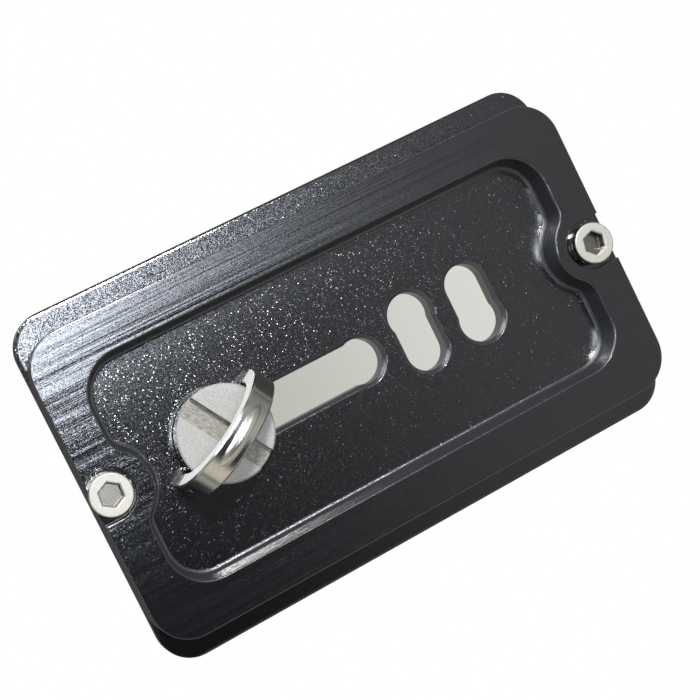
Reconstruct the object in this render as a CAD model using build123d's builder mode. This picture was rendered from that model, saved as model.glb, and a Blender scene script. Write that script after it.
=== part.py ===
from build123d import *
import os
from math import cos, radians, sin, tan

# Tripod quick release plate, shown with its underside up.
# X runs along the plate, Y across it and Z out of the underside.
# The origin is the centre of the underside face, which seats in the clamp.
# Lengths are millimetres and angles are degrees.

# Plate body
plate_length = 70.0
dovetail_width = 38.0        # across the widest edge of the dovetail
dovetail_land = 1.0          # upright edge beside the underside face
dovetail_undercut = 2.6      # how far the 45 degree flank runs in, and down
dovetail_height = 4.6        # underside face to the ledge of the platform
dovetail_corner = 4.7
platform_width = 43.5
platform_thickness = 1.9
platform_corner = 4.2
platform_bevel = 0.45        # around the platform's ledge
platform_slope = 13.0        # of that bevel, from level
edge_break = 0.1             # around the underside face and the camera face

# Recess in the underside
end_rim = 4.5                # flat left at each end
side_rim = 4.85              # flat left along each side
recess_corner = 5.0
recess_depth = 3.2
recess_draft = 10.0          # slope of its walls
floor_fillet = 0.5
bulge_radius = 4.7           # where an end wall swings in around a screw pocket
bulge_inset = 2.5            # centre of that swing from the end of the plate
end_blend = 2.6              # between the swing and the rest of the end wall

# Stop screws, one at each end
left_stop_inset = 2.05       # screw axis from the end of the plate
right_stop_inset = 2.65
stop_thread_diameter = 3.0
stop_thread_clearance = 0.03
stop_length = 4.0            # under the head
stop_tip_bevel = 0.3
stop_head_diameter = 5.0
stop_head_height = 2.0
stop_head_bevel = 0.1
stop_socket_flats = 2.5
stop_socket_depth = 1.4
stop_socket_bevel = 0.15
stop_socket_turns = {"left": 25.0, "right": 17.0}
stop_proud = 1.3             # head above the underside face
pocket_clearance = 0.5       # between a head and its pocket wall

# Camera screw
thread_diameter = 6.35
thread_bite = 0.8            # tapped ends are this much narrower
thread_length = 5.1
thread_lead = 0.7            # bevel at the tip
neck_relief = 0.4            # neck showing under the camera face
neck_clearance = 0.17        # between the neck and the slot
head_diameter = 11.5
head_thickness = 2.4
head_bevel = 0.2
coin_slot_width = 2.5
coin_slot_depth = 1.0
screw_turn = 31.0            # pivot line of the ring, from X

# Washer under the screw head
washer_thickness = 0.4
washer_diameter = 10.4
washer_clearance = 0.05      # around the neck

# Finger ring on the camera screw
ring_thickness = 1.9
ring_gap = 0.3               # between the ring and the head
ring_floor_gap = 0.15        # between the folded ring and the recess floor
ring_break = 0.2             # around its edges
ring_lean = 4.0              # how far the ring leans from upright
rib_height = 0.6
rib_width = 1.4
rib_reach = 31.0             # half of the angle that the rib shows over
rib_sweep = 50.0             # half of its whole arc, ends inside the ring
stud_diameter = 1.2
stud_length = 1.4
stud_clearance = 0.05
stud_end_gap = 0.1

# Screw slots in the recess floor
slot_step = 0.24             # from the tapped end's wall in to the slot's edge
slot_bevel = 0.45            # on the underside
slot_break = 0.75            # on the camera face
tap_bevel = 0.7              # around each tapped end on the camera face
slot_end_gap = 0.6           # from the ring's reach to the end of the floor
cross_slot_reach = 4.95      # from the middle line to each end of a cross slot
cross_slot_spacing = 8.0
cross_slot_end_gap = 10.5    # last cross slot from the end of the floor

# Rubber pads on the camera face
pad_length = 60.0
pad_width = 5.0
pad_corner = 1.5
pad_inset = 0.7
pad_proud = 0.3
pad_clearance = 0.05
pad_margin = 2.4             # from the platform's long edge
pad_break = 0.15

# Levels and places worked out from the sizes above
recess_length = plate_length - 2 * end_rim
recess_width = dovetail_width - 2 * side_rim
floor_level = -recess_depth
camera_face = -dovetail_height - platform_thickness
bevel_drop = platform_bevel * tan(radians(platform_slope))
pocket_depth = stop_head_height - stop_proud
pocket_radius = stop_head_diameter / 2 + pocket_clearance
bulge_x = plate_length / 2 - bulge_inset
floor_end = bulge_x - bulge_radius - recess_depth * tan(radians(recess_draft))
left_stop_x = left_stop_inset - plate_length / 2
right_stop_x = plate_length / 2 - right_stop_inset
stop_tip = -pocket_depth - stop_length
pad_y = platform_width / 2 - pad_margin - pad_width / 2

tap_diameter = thread_diameter - thread_bite
slot_width = tap_diameter - 2 * slot_step
neck_diameter = slot_width - 2 * neck_clearance

head_bottom = floor_level + washer_thickness
head_top = head_bottom + head_thickness
pivot_level = head_bottom + head_thickness / 2
thread_top = camera_face - neck_relief
screw_tip = thread_top - thread_length

ring_inner = head_diameter / 2 + ring_gap
ring_outer = ring_inner + ring_thickness
ring_width = 2 * (pivot_level - floor_level - ring_floor_gap)
stud_reach = ring_inner - stud_length

screw_x = ring_outer + rib_height + slot_end_gap - floor_end
last_slot_x = floor_end - cross_slot_end_gap
long_slot_tap_x = last_slot_x - 2 * cross_slot_spacing
tapped_y = cross_slot_reach - tap_diameter / 2
plain_y = cross_slot_reach - slot_width / 2
first_slot_x = last_slot_x - cross_slot_spacing
screw_slots = [
    (Vector(screw_x, 0), Vector(long_slot_tap_x, 0)),
    (Vector(first_slot_x, -plain_y), Vector(first_slot_x, tapped_y)),
    (Vector(last_slot_x, plain_y), Vector(last_slot_x, -tapped_y)),
]

# Directions at the camera screw: along the ring's pivot line, and square to it
along = Vector(cos(radians(screw_turn)), sin(radians(screw_turn)), 0)
across = Vector(along.Y, -along.X, 0)
upward = Vector(0, 0, 1)
pivot = Vector(screw_x, 0, pivot_level)
ring_face = across * cos(radians(ring_lean)) - upward * sin(radians(ring_lean))
ring_plane = Plane(origin=pivot, x_dir=along, z_dir=ring_face)
leg_planes = [
    Plane(origin=pivot + along * side * ring_inner, x_dir=ring_face * side, z_dir=along * side)
    for side in (-1, 1)
]

# The rib's crest is an arc that meets the ring's outside at both ends of its reach
rib_crest = ring_outer + rib_height
rib_rise = (rib_crest**2 - ring_outer**2) / (2 * (rib_crest - ring_outer * cos(radians(rib_reach))))
rib_radius = rib_crest - rib_rise
rib_centre = pivot + ring_plane.y_dir * rib_rise
rib_start = ring_plane.y_dir * cos(radians(rib_sweep)) + along * sin(radians(rib_sweep))

os.makedirs("parts", exist_ok=True)

# Plate: a dovetail and a platform milled from one bar
with BuildPart() as plate:
    edge_y = dovetail_width / 2
    waist_y = edge_y - dovetail_undercut
    flank_foot = -dovetail_land - dovetail_undercut
    root = -dovetail_height - bevel_drop
    with BuildSketch(Plane.YZ):
        with BuildLine():
            Polyline(
                (0, 0),
                (edge_y, 0),
                (edge_y, -dovetail_land),
                (waist_y, flank_foot),
                (waist_y, root),
                (0, root),
            )
            mirror(about=Plane.YZ)
        make_face()
    extrude(amount=plate_length / 2, both=True)
    with BuildSketch(Plane.XY):
        RectangleRounded(plate_length, dovetail_width, dovetail_corner)
    extrude(amount=root, mode=Mode.INTERSECT)

    # Platform, with a bevelled ledge
    with BuildSketch(Plane.XY.offset(camera_face)):
        RectangleRounded(plate_length, platform_width, platform_corner)
    extrude(amount=platform_thickness - bevel_drop)
    with BuildSketch(Plane.XY.offset(root)):
        RectangleRounded(plate_length, platform_width, platform_corner)
    extrude(amount=bevel_drop, taper=90 - platform_slope)
    chamfer(plate.faces().sort_by(Axis.Z)[0].edges(), edge_break)

    # Recess, its ends swinging in around the screw pockets
    with BuildSketch(Plane.XY) as recess:
        RectangleRounded(recess_length, recess_width, recess_corner)
        with Locations((bulge_x, 0), (-bulge_x, 0)):
            Circle(bulge_radius, mode=Mode.SUBTRACT)
        fillet(recess.vertices().filter_by(lambda v: abs(v.Y) < bulge_radius), end_blend)
    extrude(amount=-recess_depth, taper=recess_draft, mode=Mode.SUBTRACT)
    floor = plate.faces().sort_by_distance((0, recess_width / 4, floor_level))[0]
    fillet(floor.edges(), floor_fillet)

    # Screw slots, bevelled on both faces, each with a tapped end to let the screw in
    with BuildSketch(Plane.XY.offset(floor_level)):
        for plain_end, tapped_end in screw_slots:
            SlotCenterPoint((plain_end + tapped_end) / 2, tapped_end, slot_width)
    extrude(amount=camera_face - floor_level, mode=Mode.SUBTRACT)
    floor = plate.faces().sort_by_distance((0, recess_width / 4, floor_level))[0]
    chamfer([edge for wire in floor.inner_wires() for edge in wire.edges()], slot_bevel)
    under = plate.faces().sort_by(Axis.Z)[0]
    chamfer([edge for wire in under.inner_wires() for edge in wire.edges()], slot_break)
    with BuildSketch(Plane.XY.offset(floor_level)):
        with Locations(*[tapped_end for plain_end, tapped_end in screw_slots]):
            Circle(tap_diameter / 2)
    extrude(amount=camera_face - floor_level, mode=Mode.SUBTRACT)
    with BuildSketch(Plane.XY.offset(floor_level)):
        with Locations(*[tapped_end for plain_end, tapped_end in screw_slots]):
            Circle(tap_diameter / 2 + slot_bevel)
    extrude(amount=-slot_bevel, taper=45, mode=Mode.SUBTRACT)
    with BuildSketch(Plane.XY.offset(camera_face)):
        with Locations(*[tapped_end for plain_end, tapped_end in screw_slots]):
            Circle(tap_diameter / 2 + tap_bevel)
    extrude(amount=tap_bevel, taper=45, mode=Mode.SUBTRACT)

    # Pockets for the stop screws, open at the ends, and their tapped holes
    with BuildSketch(Plane.XY):
        for side, stop_x in ((-1, left_stop_x), (1, right_stop_x)):
            with Locations((stop_x, 0)):
                Circle(pocket_radius)
            with Locations((stop_x + side * pocket_radius, 0)):
                Rectangle(2 * pocket_radius, 2 * pocket_radius)
    extrude(amount=-pocket_depth, mode=Mode.SUBTRACT)
    with BuildSketch(Plane.XY):
        with Locations((left_stop_x, 0), (right_stop_x, 0)):
            Circle(stop_thread_diameter / 2 + stop_thread_clearance)
    extrude(amount=camera_face, mode=Mode.SUBTRACT)
    chamfer(plate.faces().sort_by(Axis.Z)[-1].edges(), edge_break)

    # Grooves for the rubber pads
    with BuildSketch(Plane.XY.offset(camera_face)):
        with Locations((0, pad_y), (0, -pad_y)):
            RectangleRounded(
                pad_length + 2 * pad_clearance,
                pad_width + 2 * pad_clearance,
                pad_corner + pad_clearance,
            )
    extrude(amount=pad_inset, mode=Mode.SUBTRACT)
plate.part.label = "plate"
export_step(plate.part, "parts/plate.step")

# Camera screw, turned, with a coin slot and a blind hole for each pivot stud
with BuildPart() as camera_screw:
    with BuildSketch(Plane(origin=(screw_x, 0, 0), x_dir=along, z_dir=across)):
        with BuildLine():
            Polyline(
                (0, head_top),
                (head_diameter / 2 - head_bevel, head_top),
                (head_diameter / 2, head_top - head_bevel),
                (head_diameter / 2, head_bottom + head_bevel),
                (head_diameter / 2 - head_bevel, head_bottom),
                (neck_diameter / 2, head_bottom),
                (neck_diameter / 2, thread_top),
                (thread_diameter / 2, thread_top),
                (thread_diameter / 2, screw_tip + thread_lead),
                (thread_diameter / 2 - thread_lead, screw_tip),
                (0, screw_tip),
                close=True,
            )
        make_face()
    revolve(axis=Axis((screw_x, 0, 0), (0, 0, 1)))
    with BuildSketch(Plane(origin=(screw_x, 0, head_top), x_dir=along, z_dir=upward)):
        Rectangle(coin_slot_width, 2 * head_diameter)
    extrude(amount=-coin_slot_depth, mode=Mode.SUBTRACT)
    for side in (-1, 1):
        hole_end = pivot + along * side * (stud_reach - stud_end_gap)
        with BuildSketch(Plane(origin=hole_end, z_dir=along * side)):
            Circle(stud_diameter / 2 + stud_clearance)
        extrude(amount=head_diameter, mode=Mode.SUBTRACT)
camera_screw.part.label = "camera_screw"
export_step(camera_screw.part, "parts/camera_screw.step")

# Washer between the screw head and the recess floor
with BuildPart() as screw_washer:
    with BuildSketch(Plane(origin=(screw_x, 0, floor_level))):
        Circle(washer_diameter / 2)
        Circle(neck_diameter / 2 + washer_clearance, mode=Mode.SUBTRACT)
    extrude(amount=washer_thickness)
screw_washer.part.label = "screw_washer"
export_step(screw_washer.part, "parts/screw_washer.step")

# Finger ring: a half ring with rounded leg ends, pivot studs and a rib on its crown
with BuildPart() as d_ring:
    with BuildSketch(ring_plane):
        Circle(ring_outer)
        Circle(ring_inner, mode=Mode.SUBTRACT)
        with Locations((0, -ring_outer)):
            Rectangle(2 * ring_outer, 2 * ring_outer, mode=Mode.SUBTRACT)
    extrude(amount=ring_width / 2, both=True)
    for leg_plane in leg_planes:
        with BuildSketch(leg_plane):
            Circle(ring_width / 2)
            with Locations((0, -ring_width / 2)):
                Rectangle(ring_width, ring_width, mode=Mode.SUBTRACT)
        extrude(amount=ring_thickness)
    chamfer(d_ring.edges().filter_by(GeomType.LINE, reverse=True), ring_break)
    for leg_plane in leg_planes:
        with BuildSketch(leg_plane):
            Circle(stud_diameter / 2)
        extrude(amount=-stud_length)
    with BuildSketch(Plane(origin=rib_centre, x_dir=ring_face, z_dir=ring_face.cross(rib_start))):
        with Locations((0, rib_radius - rib_width / 2)):
            Circle(rib_width / 2)
    revolve(axis=Axis(rib_centre, ring_face), revolution_arc=2 * rib_sweep)
d_ring.part.label = "d_ring"
export_step(d_ring.part, "parts/d_ring.step")

# Stop screws: socket head cap screws seated in the end pockets
for name, stop_x in (("left", left_stop_x), ("right", right_stop_x)):
    with BuildPart() as stop_screw:
        with BuildSketch(Plane(origin=(stop_x, 0, 0), x_dir=(1, 0, 0), z_dir=(0, -1, 0))):
            with BuildLine():
                Polyline(
                    (0, stop_proud),
                    (stop_head_diameter / 2, stop_proud),
                    (stop_head_diameter / 2, -pocket_depth),
                    (stop_thread_diameter / 2, -pocket_depth),
                    (stop_thread_diameter / 2, stop_tip + stop_tip_bevel),
                    (stop_thread_diameter / 2 - stop_tip_bevel, stop_tip),
                    (0, stop_tip),
                    close=True,
                )
            make_face()
        revolve(axis=Axis((stop_x, 0, 0), (0, 0, 1)))
        crown = stop_screw.faces().sort_by(Axis.Z)[-1]
        chamfer(crown.edges(), stop_head_bevel)
        with BuildSketch(Plane(origin=(stop_x, 0, stop_proud))):
            turn = stop_socket_turns[name]
            RegularPolygon(stop_socket_flats / 2, 6, major_radius=False, rotation=turn)
        extrude(amount=-stop_socket_depth, mode=Mode.SUBTRACT)
        crown = stop_screw.faces().sort_by(Axis.Z)[-1]
        chamfer(crown.inner_wires()[0].edges(), stop_socket_bevel)
    stop_screw.part.label = "stop_screw_" + name
    export_step(stop_screw.part, "parts/stop_screw_" + name + ".step")

# Rubber pads, let into the camera face and a little proud of it
for name, side in (("front", -1), ("rear", 1)):
    with BuildPart() as grip_pad:
        with BuildSketch(Plane(origin=(0, side * pad_y, camera_face + pad_inset))):
            RectangleRounded(pad_length, pad_width, pad_corner)
        extrude(amount=-pad_inset - pad_proud)
        chamfer(grip_pad.faces().sort_by(Axis.Z)[0].edges(), pad_break)
    grip_pad.part.label = name + "_grip_pad"
    export_step(grip_pad.part, "parts/" + name + "_grip_pad.step")
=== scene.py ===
import math

import bmesh
import bpy
from mathutils import Matrix, Vector


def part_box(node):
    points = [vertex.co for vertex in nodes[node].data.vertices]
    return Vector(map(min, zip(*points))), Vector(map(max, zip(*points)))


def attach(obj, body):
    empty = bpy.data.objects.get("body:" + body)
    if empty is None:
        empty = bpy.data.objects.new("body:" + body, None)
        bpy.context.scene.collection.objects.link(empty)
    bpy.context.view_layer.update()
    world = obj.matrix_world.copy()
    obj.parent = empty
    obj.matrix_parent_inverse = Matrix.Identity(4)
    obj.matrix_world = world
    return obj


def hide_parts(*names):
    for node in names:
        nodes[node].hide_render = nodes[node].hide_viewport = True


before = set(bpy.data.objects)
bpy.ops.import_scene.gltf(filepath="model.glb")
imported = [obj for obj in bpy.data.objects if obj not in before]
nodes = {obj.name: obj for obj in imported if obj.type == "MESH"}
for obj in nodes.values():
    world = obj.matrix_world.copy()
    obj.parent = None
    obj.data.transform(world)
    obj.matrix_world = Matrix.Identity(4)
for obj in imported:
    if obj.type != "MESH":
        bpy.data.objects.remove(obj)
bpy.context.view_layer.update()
scene = bpy.context.scene
MM = 0.001

# Places on the part, in millimetres, from the frame
SCREW_LOW, SCREW_HIGH = (Vector(corner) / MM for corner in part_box("camera_screw"))
PLATE_LOW, PLATE_HIGH = (Vector(corner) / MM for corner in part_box("plate"))
SCREW_MIDDLE = (SCREW_LOW + SCREW_HIGH) / 2
CAMERA_FACE = PLATE_LOW.z
HALF_WIDTH = PLATE_HIGH.y

# Camera screw and finger ring: lengths are in millimetres
THREAD_RADIUS = 3.175
THREAD_PITCH = 1.27
THREAD_DEPTH = 0.72
THREAD_LEAD = 0.7                     # bevel at the tip
THREAD_AROUND = 72                    # points around the rod
THREAD_ROWS = 96                      # rows of points along the rod
FLANK_SLOPE = 1.25                    # how fast the groove falls from its crest
CREST_FLAT = 0.12                     # how much of that fall the flat crest takes
NECK_RELIEF = 0.4                     # neck showing under the camera face
SEAM = 0.05                           # how far the neck runs into the threaded rod
PIVOT_LEVEL = -1.6                    # height of the finger ring's middle
PIVOT = Vector((SCREW_MIDDLE.x, SCREW_MIDDLE.y, PIVOT_LEVEL))
RING_OUTER = 7.95                     # outer radius of the ring, without its rib
SCREW_TURN = math.radians(31.0)       # the ring's axis, from the plate's length
SLOT_ACROSS = Vector((math.cos(SCREW_TURN), math.sin(SCREW_TURN), 0))
SLOT_ALONG = Vector((-math.sin(SCREW_TURN), math.cos(SCREW_TURN), 0))

# Stop screws, in millimetres
STOP_MIDDLE_X = -0.3                  # halfway between the two
STOP_REACH = 32.65                    # from there to each

# Values shared by several finishes
UPWARD = (0.0, 0.0, 1.0)
FACING_UP = (0.3, 0.6)                # how far a face looks along Z, from side to top
NOISE_SPAN = (0.3, 0.7)               # the part of a noise's values that carries a look
FINE_PER_MM = (4.0, 4.0, 4.0)         # fine mottle of the steel pieces
FINE_DETAIL = 3.0
BEVEL_SAMPLES = 6


# Shader helpers
def new_material(name):
    mat = bpy.data.materials.new(name)
    mat.use_nodes = True
    tree = mat.node_tree
    return mat, tree, tree.nodes["Principled BSDF"]


def plug(tree, socket, value):
    if isinstance(value, (int, float, tuple)):
        socket.default_value = value
    else:
        tree.links.new(value, socket)


def maths(tree, operation, a, b=0.0):
    node = tree.nodes.new("ShaderNodeMath")
    node.operation = operation
    plug(tree, node.inputs[0], a)
    plug(tree, node.inputs[1], b)
    return node.outputs[0]


def times(tree, a, b):
    return maths(tree, "MULTIPLY", a, b)


def plus(tree, a, b):
    return maths(tree, "ADD", a, b)


def minus(tree, a, b):
    return maths(tree, "SUBTRACT", a, b)


def vectors(tree, operation, a, b=(0.0, 0.0, 0.0)):
    node = tree.nodes.new("ShaderNodeVectorMath")
    node.operation = operation
    plug(tree, node.inputs[0], a)
    plug(tree, node.inputs[1], b)
    return node.outputs[0]


def scaled(tree, vector, factor):
    node = tree.nodes.new("ShaderNodeVectorMath")
    node.operation = "SCALE"
    plug(tree, node.inputs[0], vector)
    plug(tree, node.inputs["Scale"], factor)
    return node.outputs[0]


def dotted(tree, vector, direction):
    node = tree.nodes.new("ShaderNodeVectorMath")
    node.operation = "DOT_PRODUCT"
    plug(tree, node.inputs[0], vector)
    plug(tree, node.inputs[1], tuple(direction))
    return node.outputs["Value"]


def length_of(tree, vector):
    node = tree.nodes.new("ShaderNodeVectorMath")
    node.operation = "LENGTH"
    plug(tree, node.inputs[0], vector)
    return node.outputs["Value"]


def ramp(tree, value, low, high, start=0.0, end=1.0):
    node = tree.nodes.new("ShaderNodeMapRange")
    node.interpolation_type = "SMOOTHSTEP"
    plug(tree, node.inputs["Value"], value)
    limits = (("From Min", low), ("From Max", high), ("To Min", start), ("To Max", end))
    for name, amount in limits:
        node.inputs[name].default_value = amount
    return node.outputs["Result"]


def falling(tree, value, low, high):
    """One below the span, nothing above it."""
    return ramp(tree, value, low, high, 1.0, 0.0)


def mix(tree, share, a, b):
    node = tree.nodes.new("ShaderNodeMix")
    node.data_type = "FLOAT"
    plug(tree, node.inputs[0], share)
    plug(tree, node.inputs[2], a)
    plug(tree, node.inputs[3], b)
    return node.outputs[0]


def mix_colour(tree, share, a, b):
    node = tree.nodes.new("ShaderNodeMix")
    node.data_type = "RGBA"
    plug(tree, node.inputs[0], share)
    plug(tree, node.inputs[6], a)
    plug(tree, node.inputs[7], b)
    return node.outputs[2]


def parts_of(tree, vector):
    node = tree.nodes.new("ShaderNodeSeparateXYZ")
    plug(tree, node.inputs[0], vector)
    return node.outputs


def vector_of(tree, x, y, z):
    node = tree.nodes.new("ShaderNodeCombineXYZ")
    for socket, value in zip(node.inputs, (x, y, z)):
        plug(tree, socket, value)
    return node.outputs[0]


def millimetres(tree, per_mm=(1.0, 1.0, 1.0)):
    coords = tree.nodes.new("ShaderNodeTexCoord")
    return vectors(tree, "MULTIPLY", coords.outputs["Object"], tuple(s / MM for s in per_mm))


def noise_at(tree, vector, detail):
    node = tree.nodes.new("ShaderNodeTexNoise")
    node.inputs["Scale"].default_value = 1.0
    node.inputs["Detail"].default_value = detail
    plug(tree, node.inputs["Vector"], vector)
    return node.outputs["Fac"]


def noise(tree, per_mm, detail):
    return noise_at(tree, millimetres(tree, per_mm), detail)


def bump(tree, height, depth, normal):
    node = tree.nodes.new("ShaderNodeBump")
    node.inputs["Strength"].default_value = 1.0
    node.inputs["Distance"].default_value = depth * MM
    plug(tree, node.inputs["Height"], height)
    plug(tree, node.inputs["Normal"], normal)
    return node.outputs["Normal"]


def soft_edges(tree, radius):
    """Surface direction with its edges rounded; the radius is in millimetres."""
    node = tree.nodes.new("ShaderNodeBevel")
    node.samples = BEVEL_SAMPLES
    metres = radius * MM if isinstance(radius, float) else times(tree, radius, MM)
    plug(tree, node.inputs["Radius"], metres)
    return node.outputs["Normal"]


def side_on(tree, direction, low, high):
    """How far the surface faces a direction, or away from it."""
    coords = tree.nodes.new("ShaderNodeTexCoord")
    facing = maths(tree, "ABSOLUTE", dotted(tree, coords.outputs["Normal"], direction))
    return ramp(tree, facing, low, high)


def grains(tree, per_mm):
    """A tilt per grain, about bell shaped, its direction in plan, and a chance per grain."""
    cells = tree.nodes.new("ShaderNodeTexVoronoi")
    cells.inputs["Scale"].default_value = 1.0
    plug(tree, cells.inputs["Vector"], millimetres(tree, (per_mm, per_mm, per_mm)))
    total = cells.outputs["Color"]
    for seed in (1.0, 2.0):
        chance = tree.nodes.new("ShaderNodeTexWhiteNoise")
        chance.noise_dimensions = "4D"
        plug(tree, chance.inputs["Vector"], cells.outputs["Color"])
        chance.inputs["W"].default_value = seed
        total = vectors(tree, "ADD", total, chance.outputs["Color"])
    tilt = scaled(tree, vectors(tree, "SUBTRACT", total, SUM_MEAN), SUM_SCALE)
    lean = vectors(tree, "NORMALIZE", vectors(tree, "MULTIPLY", tilt, IN_PLAN))
    return tilt, lean, chance.outputs["Value"]


# Plate: where its finishes begin and end, with lengths in millimetres
FLAT_SPAN = (0.94, 0.99)              # how far a face looks along Z, from wall to flat
FACE_SPAN = (-0.2, -0.05)             # height, from the recess to the brushed underside face
LEDGE_SPAN = (-4.0, -3.7)             # height, from the ledges to the recess floor
UPPER_SPAN = (-9.0, 3.0)              # across the plate, from calm to lively grain
FADING_SPAN = (6.0, 26.0)             # along the plate, where the lively grain fades
FADED = 0.35                          # what is left of it at the far end
BRINK_SPAN = (HALF_WIDTH - 0.25, HALF_WIDTH - 0.09)       # rounded outer edge
BRINK_TILT = 1.5
PAST_SLOTS = (21.2, 22.4)             # along the plate, beyond the last cross slot
RECESS_FLOOR_FROM = (-3.6, -3.3)      # height, from below the recess floor to that floor
RECESS_FLOOR_TO = (-3.0, -2.6)        # height, from that floor to the walls around it
RECESS_SIDE = (14.5, 15.0)            # across the plate, from inside the recess to outside
EDGE_RADIUS = 0.2
FOOT_RADIUS = 1.6                     # wide soft foot of the end walls

# Plate: tilt of its grains, as slopes
GRAINS_PER_MM = 14.0
SUM_MEAN = (1.5, 1.5, 1.5)            # mean of three even chances
SUM_SCALE = 2.0
IN_PLAN = (1.0, 1.0, 0.0)
RECESS_TILT = 0.007
LEDGE_TILT = (0.02, 0.06)
LEDGE_CHANCE = (0.2, 0.8)
FACE_TILT = (0.006, 0.022)
WALL_TILT = (0.04, 0.08)
STEEP_TILT = (0.18, 0.265)            # grains that catch the key light
STEEP_LIVELY = 0.72                   # a grain is steep when its chance is above this
STEEP_CALM = 0.91
STEEP_LEDGE = 0.97
STEEP_NONE = 1.0

# Plate: brush marks along the underside face, broad bands and fine lines
BAND_PER_MM = (0.012, 1.6, 1.0)
BAND_TILT = 0.07
LINE_PER_MM = (0.03, 13.0, 1.0)
LINE_TILT = 0.16
BRUSH_DETAIL = 1.0
NOISE_MEAN = 0.5

# Plate: colour and polish
# Painted light: the walls are coloured paler than the grains, standing in for light they reflect
WALL_PAINTED_LIGHT_COLOUR = (0.026, 0.028, 0.033, 1)
GRAIN_DARK = (0.0035, 0.0037, 0.0044, 1)
GRAIN_LIGHT = (0.008, 0.0084, 0.0095, 1)
LIGHT_GRAINS = (0.9, 1.0)             # chances of the lighter grains
WALL_ROUGH = 0.3
FACE_ROUGH = 0.12
GRAIN_ROUGH = 0.11
STEEP_ROUGH = 0.205
ANODISED_IOR = 2.0


def small_tilt(tree, chance, flat, face, upper_ledge):
    """How far the ordinary grains tilt on each finish."""
    ledge_tilt = ramp(tree, chance, *LEDGE_CHANCE, *LEDGE_TILT)
    face_tilt = ramp(tree, chance, *NOISE_SPAN, *FACE_TILT)
    wall_tilt = ramp(tree, chance, 0.0, 1.0, *WALL_TILT)
    flat_tilt = mix(tree, face, mix(tree, upper_ledge, RECESS_TILT, ledge_tilt), face_tilt)
    return mix(tree, flat, wall_tilt, flat_tilt)


def steep_grains(tree, chance, face, ledge, lively):
    """Which grains stand at a steep angle."""
    on_floor = mix(tree, lively, STEEP_CALM, STEEP_LIVELY)
    on_ledge = mix(tree, lively, STEEP_NONE, STEEP_LEDGE)
    least = mix(tree, face, mix(tree, ledge, on_floor, on_ledge), STEEP_NONE)
    return maths(tree, "GREATER_THAN", chance, least)


def brush_marks(tree, face):
    """Tilt of the brush marks that run along the underside face."""
    bands = minus(tree, noise(tree, BAND_PER_MM, BRUSH_DETAIL), NOISE_MEAN)
    lines = minus(tree, noise(tree, LINE_PER_MM, BRUSH_DETAIL), NOISE_MEAN)
    marks = plus(tree, times(tree, bands, BAND_TILT), times(tree, lines, LINE_TILT))
    return vector_of(tree, 0.0, times(tree, marks, face), 0.0)


def rounded_brink(tree, y, aside):
    """Tilt of the plate's long outer edges."""
    outward = times(tree, ramp(tree, aside, *BRINK_SPAN, 0.0, BRINK_TILT), maths(tree, "SIGN", y))
    return vector_of(tree, 0.0, outward, 0.0)


def plate_edges(tree, place, aside):
    """Narrow soft edges, and a wide soft foot where the end wall past the slots meets the floor."""
    past_slots = ramp(tree, place["X"], *PAST_SLOTS)
    above = ramp(tree, place["Z"], *RECESS_FLOOR_FROM)
    at_floor = times(tree, falling(tree, place["Z"], *RECESS_FLOOR_TO), above)
    in_recess = times(tree, at_floor, falling(tree, aside, *RECESS_SIDE))
    foot = times(tree, past_slots, in_recess)
    return soft_edges(tree, mix(tree, foot, EDGE_RADIUS, FOOT_RADIUS))


# Black anodised aluminium
def anodised():
    """Brushed along the underside face, bead blasted on floor and ledges, smooth on the walls, whose
    paler colour is painted light.
    """
    mat, tree, bsdf = new_material("anodised_black")
    place = parts_of(tree, millimetres(tree))
    aside = maths(tree, "ABSOLUTE", place["Y"])
    surface = tree.nodes.new("ShaderNodeNewGeometry")
    facing = maths(tree, "ABSOLUTE", parts_of(tree, surface.outputs["Normal"])["Z"])
    flat = ramp(tree, facing, *FLAT_SPAN)
    face = times(tree, flat, ramp(tree, place["Z"], *FACE_SPAN))
    ledge = falling(tree, place["Z"], *LEDGE_SPAN)
    upper = ramp(tree, place["Y"], *UPPER_SPAN)
    lively = times(tree, upper, ramp(tree, place["X"], *FADING_SPAN, 1.0, FADED))

    tilt, lean, chance = grains(tree, GRAINS_PER_MM)
    spread = small_tilt(tree, chance, flat, face, times(tree, ledge, upper))
    steep = steep_grains(tree, chance, face, ledge, lively)
    slope = times(tree, ramp(tree, chance, STEEP_LIVELY, 1.0, *STEEP_TILT), times(tree, steep, flat))
    grain = vectors(tree, "ADD", scaled(tree, tilt, spread), scaled(tree, lean, slope))
    texture = vectors(tree, "ADD", grain, brush_marks(tree, face))
    normal = vectors(tree, "ADD", plate_edges(tree, place, aside), texture)
    normal = vectors(tree, "ADD", normal, rounded_brink(tree, place["Y"], aside))
    plug(tree, bsdf.inputs["Normal"], vectors(tree, "NORMALIZE", normal))

    flat_rough = mix(tree, face, mix(tree, steep, GRAIN_ROUGH, STEEP_ROUGH), FACE_ROUGH)
    plug(tree, bsdf.inputs["Roughness"], mix(tree, flat, WALL_ROUGH, flat_rough))
    blasted = mix_colour(tree, ramp(tree, chance, *LIGHT_GRAINS), GRAIN_DARK, GRAIN_LIGHT)
    # Painted light on the walls: a paler colour than on the floor and ledges
    plug(tree, bsdf.inputs["Base Color"], mix_colour(tree, flat, WALL_PAINTED_LIGHT_COLOUR, blasted))
    bsdf.inputs["IOR"].default_value = ANODISED_IOR
    return mat


# Finger ring
RIB_RISE = (0.12, 0.2)                # above the ring's outside, from ring to rib
RIB_HEIGHT = (5.5, 6.0)               # above the pivot, where the rib begins
RING_FACE_SPAN = (0.85, 0.95)         # how far a face looks along the coin slot
RING_DARK = (0.78, 0.76, 0.70, 1)
RING_LIGHT = (0.84, 0.82, 0.77, 1)
# Painted highlight: the ring's side faces are coloured paler than the rest of the ring
RING_FACE_PAINTED_LIGHT = (0.93, 0.93, 0.92, 1)
RING_ROUGH = 0.2
RIB_ROUGH = 0.33
RING_FACE_ROUGH = 0.8
RING_RELIEF = 0.002
RING_EDGE = 0.15


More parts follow.
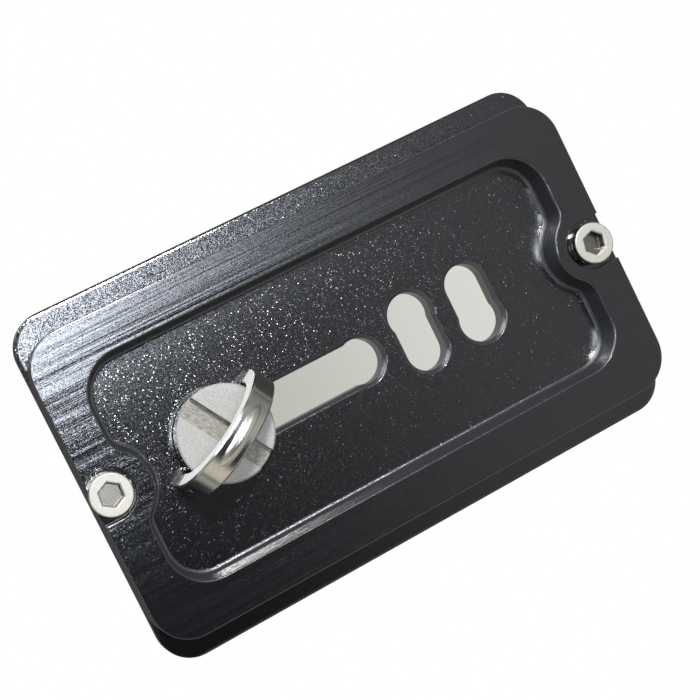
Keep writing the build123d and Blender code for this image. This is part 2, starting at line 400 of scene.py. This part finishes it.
def ring_finish():
    """Polished around the outside, satin on the side faces and on the rib; the side faces' near-white
    colour is a painted highlight.
    """
    mat, tree, bsdf = new_material("ring_steel")
    place = vectors(tree, "SUBTRACT", millimetres(tree), tuple(PIVOT))
    rise = ramp(tree, length_of(tree, place), *(RING_OUTER + step for step in RIB_RISE))
    on_rib = times(tree, rise, ramp(tree, parts_of(tree, place)["Z"], *RIB_HEIGHT))
    on_face = side_on(tree, SLOT_ALONG, *RING_FACE_SPAN)
    fine = noise(tree, FINE_PER_MM, FINE_DETAIL)
    polished = mix_colour(tree, ramp(tree, fine, *NOISE_SPAN), RING_DARK, RING_LIGHT)
    # Painted highlight on the side faces; their satin polish is the finish
    plug(tree, bsdf.inputs["Base Color"], mix_colour(tree, on_face, polished, RING_FACE_PAINTED_LIGHT))
    bsdf.inputs["Metallic"].default_value = 1.0
    outside_rough = mix(tree, on_rib, RING_ROUGH, RIB_ROUGH)
    plug(tree, bsdf.inputs["Roughness"], mix(tree, on_face, outside_rough, RING_FACE_ROUGH))
    plug(tree, bsdf.inputs["Normal"], bump(tree, fine, RING_RELIEF, soft_edges(tree, RING_EDGE)))
    return mat


# Camera screw
COIN_SLOT_TOP = (-0.95, -0.75)        # heights between which the coin slot ends
COIN_SLOT_FOOT = (-1.7, -1.6)         # heights between which it begins
CUTTER_ACROSS = 5.0                   # cutter marks per millimetre
CUTTER_ALONG = 1.6
CUTTER_DETAIL = 3.0
CUTTER_SPAN = (0.35, 0.65)
MOTTLE_PER_MM = (5.0, 5.0, 5.0)
MOTTLE_DETAIL = 4.0
HEAD_DARK = (0.54, 0.538, 0.525, 1)
HEAD_LIGHT = (0.66, 0.656, 0.635, 1)
# Down in the coin slot the head is coloured darker and warmer than on its top
COIN_SLOT_DARK = (0.38, 0.365, 0.325, 1)
COIN_SLOT_LIGHT = (0.59, 0.575, 0.525, 1)
HEAD_ROUGH = (0.78, 0.86)
TURNED_ROUGH = 0.16                   # polish around the heads' sides
HEAD_RELIEF = 0.006
HEAD_EDGE = 0.12


def turned_steel():
    """A satin head, polished around its side, coloured darker and warmer down in its coin slot, where the
    cutter left its marks.
    """
    mat, tree, bsdf = new_material("turned_steel")
    place = millimetres(tree)
    level = parts_of(tree, place)["Z"]
    in_slot = times(tree, falling(tree, level, *COIN_SLOT_TOP), ramp(tree, level, *COIN_SLOT_FOOT))
    fine = noise(tree, FINE_PER_MM, FINE_DETAIL)
    across = times(tree, dotted(tree, place, SLOT_ACROSS), CUTTER_ACROSS)
    along = times(tree, dotted(tree, place, SLOT_ALONG), CUTTER_ALONG)
    cutter = noise_at(tree, vector_of(tree, across, along, 0.0), CUTTER_DETAIL)
    marks = mix(tree, in_slot, fine, cutter)
    mottle = noise(tree, MOTTLE_PER_MM, MOTTLE_DETAIL)
    satin = mix_colour(tree, ramp(tree, mottle, *NOISE_SPAN), HEAD_DARK, HEAD_LIGHT)
    slot_tone = mix_colour(tree, ramp(tree, marks, *CUTTER_SPAN), COIN_SLOT_DARK, COIN_SLOT_LIGHT)
    plug(tree, bsdf.inputs["Base Color"], mix_colour(tree, in_slot, satin, slot_tone))
    bsdf.inputs["Metallic"].default_value = 1.0
    top_rough = ramp(tree, marks, *NOISE_SPAN, *HEAD_ROUGH)
    on_top = side_on(tree, UPWARD, *FACING_UP)
    plug(tree, bsdf.inputs["Roughness"], mix(tree, on_top, TURNED_ROUGH, top_rough))
    plug(tree, bsdf.inputs["Normal"], bump(tree, marks, HEAD_RELIEF, soft_edges(tree, HEAD_EDGE)))
    return mat


# Stop screws
SOCKET_RADIUS = (1.5, 1.6)            # from the screw's axis, from socket to head
SOCKET_TOP = (1.05, 1.2)              # height, from socket to the head's top
STOP_DARK = (0.57, 0.555, 0.50, 1)
STOP_LIGHT = (0.66, 0.645, 0.585, 1)
# Painted shade: the sockets are coloured darker and browner than the heads
SOCKET_PAINTED_SHADE = (0.28, 0.26, 0.22, 1)
STOP_ROUGH = (0.54, 0.62)
SOCKET_ROUGH = 0.25
STOP_RELIEF = 0.004
STOP_EDGE = 0.15


def socket_steel():
    """Pale satin heads, with painted shade down in their sockets."""
    mat, tree, bsdf = new_material("stop_steel")
    place = parts_of(tree, millimetres(tree))
    from_middle = maths(tree, "ABSOLUTE", minus(tree, place["X"], STOP_MIDDLE_X))
    from_axis = vector_of(tree, minus(tree, from_middle, STOP_REACH), place["Y"], 0.0)
    near_axis = falling(tree, length_of(tree, from_axis), *SOCKET_RADIUS)
    inside = times(tree, near_axis, falling(tree, place["Z"], *SOCKET_TOP))
    fine = noise(tree, FINE_PER_MM, FINE_DETAIL)
    satin = mix_colour(tree, ramp(tree, fine, *NOISE_SPAN), STOP_DARK, STOP_LIGHT)
    # Painted shade inside the sockets
    plug(tree, bsdf.inputs["Base Color"], mix_colour(tree, inside, satin, SOCKET_PAINTED_SHADE))
    bsdf.inputs["Metallic"].default_value = 1.0
    top_rough = ramp(tree, fine, *NOISE_SPAN, *STOP_ROUGH)
    head_rough = mix(tree, side_on(tree, UPWARD, *FACING_UP), TURNED_ROUGH, top_rough)
    plug(tree, bsdf.inputs["Roughness"], mix(tree, inside, head_rough, SOCKET_ROUGH))
    plug(tree, bsdf.inputs["Normal"], bump(tree, fine, STOP_RELIEF, soft_edges(tree, STOP_EDGE)))
    return mat


# Washer and grip pads
NYLON_DARK = (0.015, 0.015, 0.015, 1)
NYLON_LIGHT = (0.025, 0.025, 0.025, 1)
NYLON_ROUGH = (0.49, 0.61)
NYLON_PER_MM = (5.0, 5.0, 5.0)
NYLON_RELIEF = 0.01
RUBBER_DARK = (0.014, 0.014, 0.014, 1)
RUBBER_LIGHT = (0.024, 0.024, 0.024, 1)
RUBBER_ROUGH = (0.69, 0.81)
RUBBER_PER_MM = (7.0, 7.0, 7.0)
RUBBER_RELIEF = 0.03
DULL_DETAIL = 2.0
DULL_EDGE = 0.1


def dull(name, dark, light, rough, per_mm, depth):
    mat, tree, bsdf = new_material(name)
    grain = noise(tree, per_mm, DULL_DETAIL)
    plug(tree, bsdf.inputs["Base Color"], mix_colour(tree, ramp(tree, grain, *NOISE_SPAN), dark, light))
    plug(tree, bsdf.inputs["Roughness"], ramp(tree, grain, *NOISE_SPAN, *rough))
    plug(tree, bsdf.inputs["Normal"], bump(tree, grain, depth, soft_edges(tree, DULL_EDGE)))
    return mat


black = anodised()
screw_steel = turned_steel()
ring_steel = ring_finish()
stop_steel = socket_steel()
nylon = dull("nylon_black", NYLON_DARK, NYLON_LIGHT, NYLON_ROUGH, NYLON_PER_MM, NYLON_RELIEF)
rubber = dull("rubber_black", RUBBER_DARK, RUBBER_LIGHT, RUBBER_ROUGH, RUBBER_PER_MM, RUBBER_RELIEF)


# Camera screw: the turned head and neck, and a rod with its helical thread
def cut_below(shape, level):
    """Take off all of a shape that lies below a height, and close the cut."""
    cut = bmesh.ops.bisect_plane(
        shape,
        geom=shape.verts[:] + shape.edges[:] + shape.faces[:],
        plane_co=(0, 0, level * MM),
        plane_no=UPWARD,
        clear_inner=True,
    )
    rim = [edge for edge in cut["geom_cut"] if isinstance(edge, bmesh.types.BMEdge)]
    bmesh.ops.holes_fill(shape, edges=rim)


def thread_radius(depth, turn, length):
    """Radius of the thread at a depth below the rod's top and a share of a turn."""
    phase = (depth / THREAD_PITCH + turn) % 1.0
    fall = FLANK_SLOPE * abs(2 * phase - 1) - CREST_FLAT
    groove = THREAD_DEPTH * min(1.0, max(0.0, fall))
    tip_bevel = max(0.0, THREAD_LEAD - (length - depth))
    return THREAD_RADIUS - max(groove, tip_bevel)


def add_rod(shape, top):
    """Add the threaded rod, from a height down to the screw's tip."""
    length = top - SCREW_LOW.z
    rings = []
    for row in range(THREAD_ROWS + 1):
        depth = length * row / THREAD_ROWS
        ring = []
        for column in range(THREAD_AROUND):
            turn = column / THREAD_AROUND
            radius = thread_radius(depth, turn, length)
            angle = 2 * math.pi * turn
            x = SCREW_MIDDLE.x + radius * math.cos(angle)
            y = SCREW_MIDDLE.y + radius * math.sin(angle)
            ring.append(shape.verts.new(Vector((x, y, top - depth)) * MM))
        rings.append(ring)
    for upper, lower in zip(rings, rings[1:]):
        for column in range(THREAD_AROUND):
            after = (column + 1) % THREAD_AROUND
            face = shape.faces.new((upper[column], lower[column], lower[after], upper[after]))
            face.smooth = True
    shape.faces.new(rings[0])
    shape.faces.new(reversed(rings[-1]))


def threaded_screw():
    neck_end = CAMERA_FACE - NECK_RELIEF + SEAM
    mesh = nodes["camera_screw"].data.copy()
    shape = bmesh.new()
    shape.from_mesh(mesh)
    cut_below(shape, neck_end)
    add_rod(shape, neck_end + SEAM)
    shape.to_mesh(mesh)
    shape.free()
    screw = bpy.data.objects.new("camera_screw_threaded", mesh)
    scene.collection.objects.link(screw)
    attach(screw, "screw_body")
    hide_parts("camera_screw")
    return screw


# Each piece with its finish and its material slot
looks = [
    (nodes["plate"], black, "anodised_black"),
    (threaded_screw(), screw_steel, "stainless"),
    (nodes["d_ring"], ring_steel, "stainless"),
    (nodes["screw_washer"], nylon, "washer_nylon"),
    (nodes["stop_screw_left"], stop_steel, "stop_steel"),
    (nodes["stop_screw_right"], stop_steel, "stop_steel"),
    (nodes["front_grip_pad"], rubber, "pad_rubber"),
    (nodes["rear_grip_pad"], rubber, "pad_rubber"),
]
for piece, mat, slot in looks:
    piece.data.materials.clear()
    piece.data.materials.append(mat)

# Floor: white, with a pale grey patch of painted shadow under the plate that shows through its slots
FLOOR_SIZE_M = 6.0
FLOOR_LEVEL = -20.0
FLOOR_COLOUR = (0.86, 0.86, 0.86, 1)
FLOOR_ROUGH = 0.9
FLOOR_SHEEN = 0.2
WHITE = (1.0, 1.0, 1.0, 1)
PATCH_X = 5.0
PATCH_Y = -1.0
PATCH_END_X = (21.0, 32.0)            # from the patch's middle, where it turns white
PATCH_END_Y = (10.0, 19.0)
PATCH_SHADE_X = (-14.0, 26.0)         # along the plate, from its darker to its lighter end
# Painted shadow: the grey patch under the plate, darker towards its left end
SHADOW_PATCH_DARK = (0.50, 0.50, 0.455, 1)
SHADOW_PATCH_LIGHT = (0.69, 0.685, 0.65, 1)
MIRRORED_X = (-34.0, -22.0)           # along the plate, where the painted shade on the floor in reflections lightens
# Painted shade: reflections see the floor darker than it is, darkest beside the plate's left end
MIRRORED_SHADE_DARK = (0.04, 0.035, 0.03, 1)
MIRRORED_SHADE_LIGHT = (0.5, 0.49, 0.46, 1)
MIRRORED_SHADE_FAR = (0.35, 0.35, 0.34, 1)
FAR_X = (25.0, 90.0)                  # from the patch's middle, where it evens out
FAR_Y = (15.0, 80.0)


def mixed_shader(tree, share, a, b):
    node = tree.nodes.new("ShaderNodeMixShader")
    plug(tree, node.inputs[0], share)
    plug(tree, node.inputs[1], a)
    plug(tree, node.inputs[2], b)
    return node.outputs[0]


def floor_material():
    """White around its grey patch of painted shadow, with painted shade that darkens the floor in
    reflections, and clear from below.
    """
    mat, tree, bsdf = new_material("floor_white")
    bsdf.inputs["Base Color"].default_value = FLOOR_COLOUR
    bsdf.inputs["Roughness"].default_value = FLOOR_ROUGH
    bsdf.inputs["Specular IOR Level"].default_value = FLOOR_SHEEN
    place = parts_of(tree, millimetres(tree))
    along = maths(tree, "ABSOLUTE", minus(tree, place["X"], PATCH_X))
    across = maths(tree, "ABSOLUTE", minus(tree, place["Y"], PATCH_Y))
    past_patch = maths(tree, "MAXIMUM", ramp(tree, along, *PATCH_END_X), ramp(tree, across, *PATCH_END_Y))
    shade = mix_colour(tree, ramp(tree, place["X"], *PATCH_SHADE_X), SHADOW_PATCH_DARK, SHADOW_PATCH_LIGHT)
    # Painted shadow under the plate, seen by the camera through the slots
    patch = mix_colour(tree, past_patch, shade, WHITE)
    far = maths(tree, "MAXIMUM", ramp(tree, along, *FAR_X), ramp(tree, across, *FAR_Y))
    # Painted shade on the floor as reflections see it
    near = mix_colour(tree, ramp(tree, place["X"], *MIRRORED_X), MIRRORED_SHADE_DARK, MIRRORED_SHADE_LIGHT)
    mirrored_shade = mix_colour(tree, far, near, MIRRORED_SHADE_FAR)

    path = tree.nodes.new("ShaderNodeLightPath")
    by_camera = path.outputs["Is Camera Ray"]
    glow = tree.nodes.new("ShaderNodeEmission")
    plug(tree, glow.inputs["Color"], mix_colour(tree, by_camera, mirrored_shade, patch))
    seen = maths(tree, "MAXIMUM", by_camera, path.outputs["Is Glossy Ray"])
    above = mixed_shader(tree, seen, bsdf.outputs[0], glow.outputs[0])
    from_below = tree.nodes.new("ShaderNodeNewGeometry").outputs["Backfacing"]
    clear = tree.nodes.new("ShaderNodeBsdfTransparent").outputs[0]
    both = mixed_shader(tree, times(tree, from_below, by_camera), above, clear)
    plug(tree, tree.nodes["Material Output"].inputs["Surface"], both)
    return mat


bpy.ops.mesh.primitive_plane_add(size=FLOOR_SIZE_M, location=(0, 0, FLOOR_LEVEL * MM))
floor = bpy.context.object
floor.name = "floor"
floor.data.materials.append(floor_material())

# Key light, in metres and watts
KEY_PLACE = Vector((0.016, 0.183, 0.308))
KEY_SIDE = 0.05
KEY_POWER = 1.15


def key_light():
    data = bpy.data.lights.new("key", "AREA")
    data.shape = "SQUARE"
    data.size = KEY_SIDE
    data.energy = KEY_POWER
    lamp = bpy.data.objects.new("key", data)
    scene.collection.objects.link(lamp)
    lamp.location = KEY_PLACE
    lamp.rotation_mode = "QUATERNION"
    lamp.rotation_quaternion = (-KEY_PLACE).to_track_quat("-Z", "Y")


key_light()

# Room: spans are parts of the unit vector that points towards it
CEILING_X = (0.11, 0.40)              # the ceiling brightens along the plate
CEILING_DARK = (0.022, 0.022, 0.024, 1)
CEILING_LIGHT = (0.34, 0.345, 0.36, 1)
CEILING_Z = (0.45, 0.72)              # from the walls to the ceiling
WALLS_Y = (-0.4, 0.3)
WALLS_NEAR = (0.60, 0.57, 0.51, 1)
WALLS_FAR = (0.22, 0.22, 0.22, 1)
HORIZON_Z = (0.06, 0.14)
HORIZON_COLOUR = (0.05, 0.05, 0.05, 1)
STRIP_REACH = 0.165                   # half length of the strip light along X
STRIP_START_Y = (0.0, 0.035)
STRIP_CORE_Y = (0.06, 0.09)
STRIP_CORE = 27.0                     # brightness of its core and of the glow beside it
STRIP_GLOW_Y = (0.14, 0.22)
STRIP_GLOW = 6.0
STRIP_Z = (0.5, 0.8)
STRIP_COLOUR = (0.82, 0.88, 1.0)
WINDOW_TOWARD = Vector((-0.50, 0.83, 0.25)).normalized()
WINDOW_SPAN = (0.90, 0.97)            # cosine of the angle from its middle
WINDOW_BRIGHT = 5.0
WINDOW_COLOUR = (0.94, 0.97, 1.0)


def strip_light(tree, toward):
    """Brightness of the strip light: soft at its ends, with a bright core and a glow beside it."""
    share = maths(tree, "DIVIDE", toward["X"], STRIP_REACH)
    along = maths(tree, "EXPONENT", times(tree, maths(tree, "POWER", share, 2.0), -1.0))
    core = ramp(tree, toward["Y"], *STRIP_CORE_Y, STRIP_CORE, 0.0)
    glow = ramp(tree, toward["Y"], *STRIP_GLOW_Y, STRIP_GLOW, 0.0)
    across = times(tree, plus(tree, core, glow), ramp(tree, toward["Y"], *STRIP_START_Y))
    return times(tree, times(tree, along, across), ramp(tree, toward["Z"], *STRIP_Z))


def room():
    """Pale walls, dim along the horizon, a ceiling with a strip light in it, and a window."""
    world = bpy.data.worlds.new("studio")
    world.use_nodes = True
    tree = world.node_tree
    direction = tree.nodes.new("ShaderNodeTexCoord").outputs["Generated"]
    toward = parts_of(tree, direction)
    ceiling = mix_colour(tree, ramp(tree, toward["X"], *CEILING_X), CEILING_DARK, CEILING_LIGHT)
    pale = mix_colour(tree, ramp(tree, toward["Y"], *WALLS_Y), WALLS_NEAR, WALLS_FAR)
    walls = mix_colour(tree, ramp(tree, toward["Z"], *HORIZON_Z), HORIZON_COLOUR, pale)
    shade = mix_colour(tree, ramp(tree, toward["Z"], *CEILING_Z), walls, ceiling)
    light = vectors(tree, "ADD", shade, scaled(tree, STRIP_COLOUR, strip_light(tree, toward)))
    window = ramp(tree, dotted(tree, direction, WINDOW_TOWARD), *WINDOW_SPAN, 0.0, WINDOW_BRIGHT)
    light = vectors(tree, "ADD", light, scaled(tree, WINDOW_COLOUR, window))
    by_camera = tree.nodes.new("ShaderNodeLightPath").outputs["Is Camera Ray"]
    plug(tree, tree.nodes["Background"].inputs["Color"], mix_colour(tree, by_camera, light, WHITE))
    return world


scene.world = room()

# Camera, at the photograph's place
CAMERA_PLACE = Vector((-51.970, 14.874, 180.399)) * MM
CAMERA_RIGHT = Vector((0.85436, -0.44173, 0.27376))
CAMERA_UP = Vector((0.44272, 0.89453, 0.06170))
CAMERA_BACK = Vector((-0.27214, 0.06849, 0.95982))
FOCAL_PIXELS = 1620.0
PHOTO_PIXELS = 700.0
SENSOR_MM = 36.0
NEAREST_M = 0.01
FARTHEST_M = 20.0

camera_data = bpy.data.cameras.new("camera")
camera = bpy.data.objects.new("camera", camera_data)
scene.collection.objects.link(camera)
turn = Matrix((CAMERA_RIGHT, CAMERA_UP, CAMERA_BACK)).transposed()
camera.matrix_world = Matrix.Translation(CAMERA_PLACE) @ turn.to_4x4()
camera_data.sensor_width = SENSOR_MM
camera_data.lens = SENSOR_MM * FOCAL_PIXELS / PHOTO_PIXELS
camera_data.clip_start = NEAREST_M
camera_data.clip_end = FARTHEST_M
scene.camera = camera

scene.view_settings.view_transform = "Standard"
